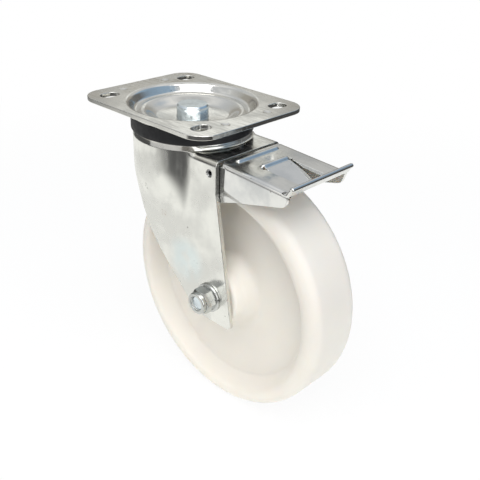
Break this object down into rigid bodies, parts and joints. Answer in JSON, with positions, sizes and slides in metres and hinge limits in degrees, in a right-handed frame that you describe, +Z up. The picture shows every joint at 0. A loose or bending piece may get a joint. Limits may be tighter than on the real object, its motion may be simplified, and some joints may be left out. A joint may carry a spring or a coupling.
{
  "type": "braked castor",
  "caption": "Swivel castor with a pressed zinc-plated fork and top plate, a solid white plastic wheel and a foot pedal whose tongue presses on the tread to brake it.",
  "frame": {"origin": "on the swivel axis, in the plane of the top plate's mounting face, at the centre of its bolt pattern", "axes": "+Z up out of the mounting face along the swivel axis, X along the wheel's axle, -Y towards the pedal, the way that the wheel trails"},
  "size_m": [0.114, 0.226, 0.24],
  "materials": {
    "zinc_sheet": "bright zinc plated, semi-gloss",
    "bright_steel": "bright zinc plated",
    "nut_steel": "dark zinc plated",
    "seal_plastic": "matt",
    "insert_nylon": "satin",
    "cage_plastic": "satin",
    "wheel_polyamide": "satin, slightly translucent"
  },
  "bodies": {
    "plate": {"top_plate": "zinc_sheet", "kingpin": "bright_steel", "upper_balls": "bright_steel", "lower_balls": "bright_steel", "lower_race_cup": "zinc_sheet"},
    "fork": {"fork": "zinc_sheet", "dust_seal": "seal_plastic", "axle_bolt": "bright_steel", "bolt_washer": "bright_steel", "nut_washer": "bright_steel", "axle_nut": "nut_steel", "nut_insert": "insert_nylon", "axle_sleeve": "bright_steel", "near_thrust_washer": "bright_steel", "far_thrust_washer": "bright_steel", "pivot_pin": "bright_steel"},
    "wheel": {"wheel": "wheel_polyamide", "roller_cage": "cage_plastic", "rollers": "bright_steel"},
    "pedal": {"brake_pedal": "zinc_sheet"}
  },
  "joints": [
    {"name": "swivel", "type": "hinge", "parent": "plate", "child": "fork", "pos_m": [0, 0, 0], "axis": [0, 0, 1], "continuous": true},
    {"name": "wheel_spin", "type": "hinge", "parent": "fork", "child": "wheel", "pos_m": [0, -0.056, -0.14], "axis": [1, 0, 0], "continuous": true},
    {"name": "pedal_press", "type": "hinge", "parent": "fork", "child": "pedal", "pos_m": [0, -0.0545, -0.0351], "axis": [1, 0, 0], "range_deg": [0, 18.3]}
  ]
}
